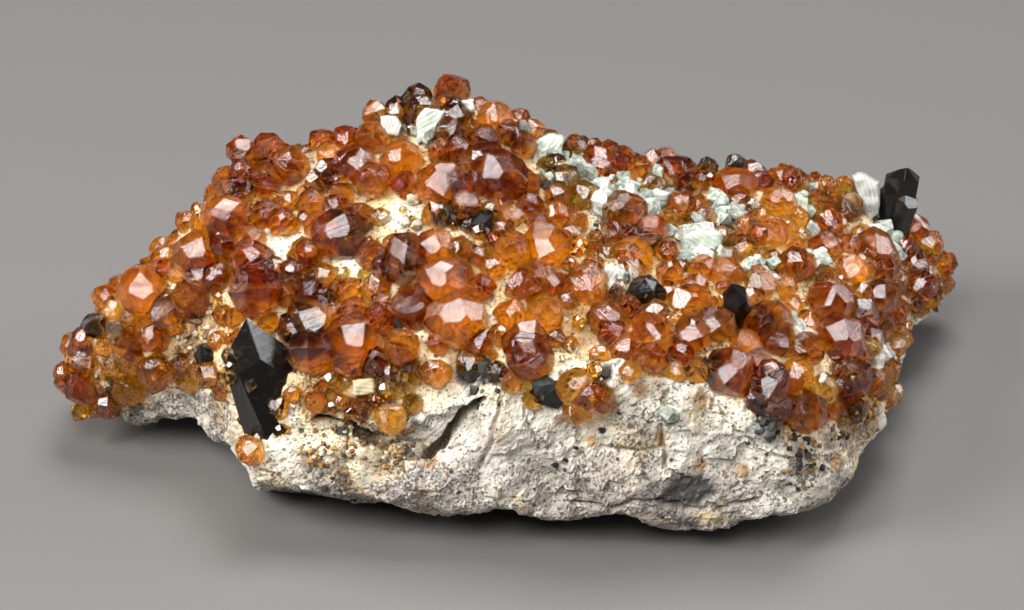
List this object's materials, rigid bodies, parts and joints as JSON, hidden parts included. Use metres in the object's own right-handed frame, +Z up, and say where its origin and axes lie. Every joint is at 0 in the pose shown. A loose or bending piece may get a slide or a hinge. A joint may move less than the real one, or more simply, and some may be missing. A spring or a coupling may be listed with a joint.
{
  "type": "garnet in matrix specimen",
  "caption": "Cabinet-size mineral specimen: orange-brown garnet crystals over a pale feldspar plate, with black smoky quartz and pale blades, resting on a flat cut.",
  "frame": {"origin": "middle of the footprint, on the flat cut under the plate", "axes": "+X along the specimen to the right of the bare rock face, -Y out of the bare rock face, +Z up"},
  "size_m": [0.1014, 0.056, 0.0395],
  "materials": {
    "feldspar_rock": "rough granular rock, cream above and lavender grey below, speckled black, grey and ochre",
    "feldspar_blade": "pale mint to white crystal faces, satin, finely striped",
    "smoky_quartz": "near-black glassy crystal with fine cross lines",
    "clear_quartz": "clear grey glassy crystal",
    "garnet": "glossy flat facets, see-through orange to red-brown"
  },
  "bodies": {
    "root": {"smoky_quartz_large": "smoky_quartz", "smoky_quartz_rear": "smoky_quartz", "smoky_quartz_centre": "smoky_quartz", "smoky_quartz_small": "smoky_quartz", "smoky_quartz_left": "smoky_quartz", "smoky_quartz_lobe": "smoky_quartz", "smoky_quartz_rim": "smoky_quartz", "clear_quartz_lobe": "clear_quartz", "feldspar_blade_peak": "feldspar_blade", "feldspar_block_rim": "feldspar_blade", "feldspar_block_peak": "feldspar_blade", "feldspar_plates_rim": "feldspar_blade", "feldspar_blade_striped": "feldspar_blade", "feldspar_blade_mint": "feldspar_blade", "feldspar_plate_silver": "feldspar_blade", "feldspar_plate_centre": "feldspar_blade", "feldspar_plate_white": "feldspar_blade", "feldspar_arc": "feldspar_blade", "feldspar_plate_far": "feldspar_blade", "feldspar_block_far": "feldspar_blade", "feldspar_pillar": "feldspar_blade", "feldspar_blade_long": "feldspar_blade", "feldspar_plate_bright": "feldspar_blade", "feldspar_fan": "feldspar_blade", "feldspar_block_edge": "feldspar_blade", "feldspar_block_ledge": "feldspar_blade", "garnet_cluster_01": "garnet", "garnet_cluster_02": "garnet", "garnet_cluster_03": "garnet", "garnet_cluster_04": "garnet", "garnet_cluster_05": "garnet", "garnet_cluster_06": "garnet", "garnet_cluster_07": "garnet", "garnet_cluster_08": "garnet", "garnet_cluster_09": "garnet", "garnet_cluster_10": "garnet", "garnet_cluster_11": "garnet", "garnet_cluster_12": "garnet", "garnet_cluster_13": "garnet", "garnet_cluster_14": "garnet", "garnet_cluster_15": "garnet", "garnet_cluster_16": "garnet", "garnet_cluster_17": "garnet", "garnet_cluster_18": "garnet", "garnet_cluster_19": "garnet", "garnet_cluster_20": "garnet", "garnet_cluster_21": "garnet", "garnet_cluster_22": "garnet", "garnet_cluster_23": "garnet", "garnet_cluster_24": "garnet", "garnet_cluster_25": "garnet", "garnet_cluster_26": "garnet", "garnet_cluster_27": "garnet", "garnet_cluster_28": "garnet", "garnet_cluster_29": "garnet", "garnet_cluster_30": "garnet", "garnet_cluster_31": "garnet", "garnet_cluster_32": "garnet", "feldspar_matrix": "feldspar_rock"}
  },
  "joints": []
}
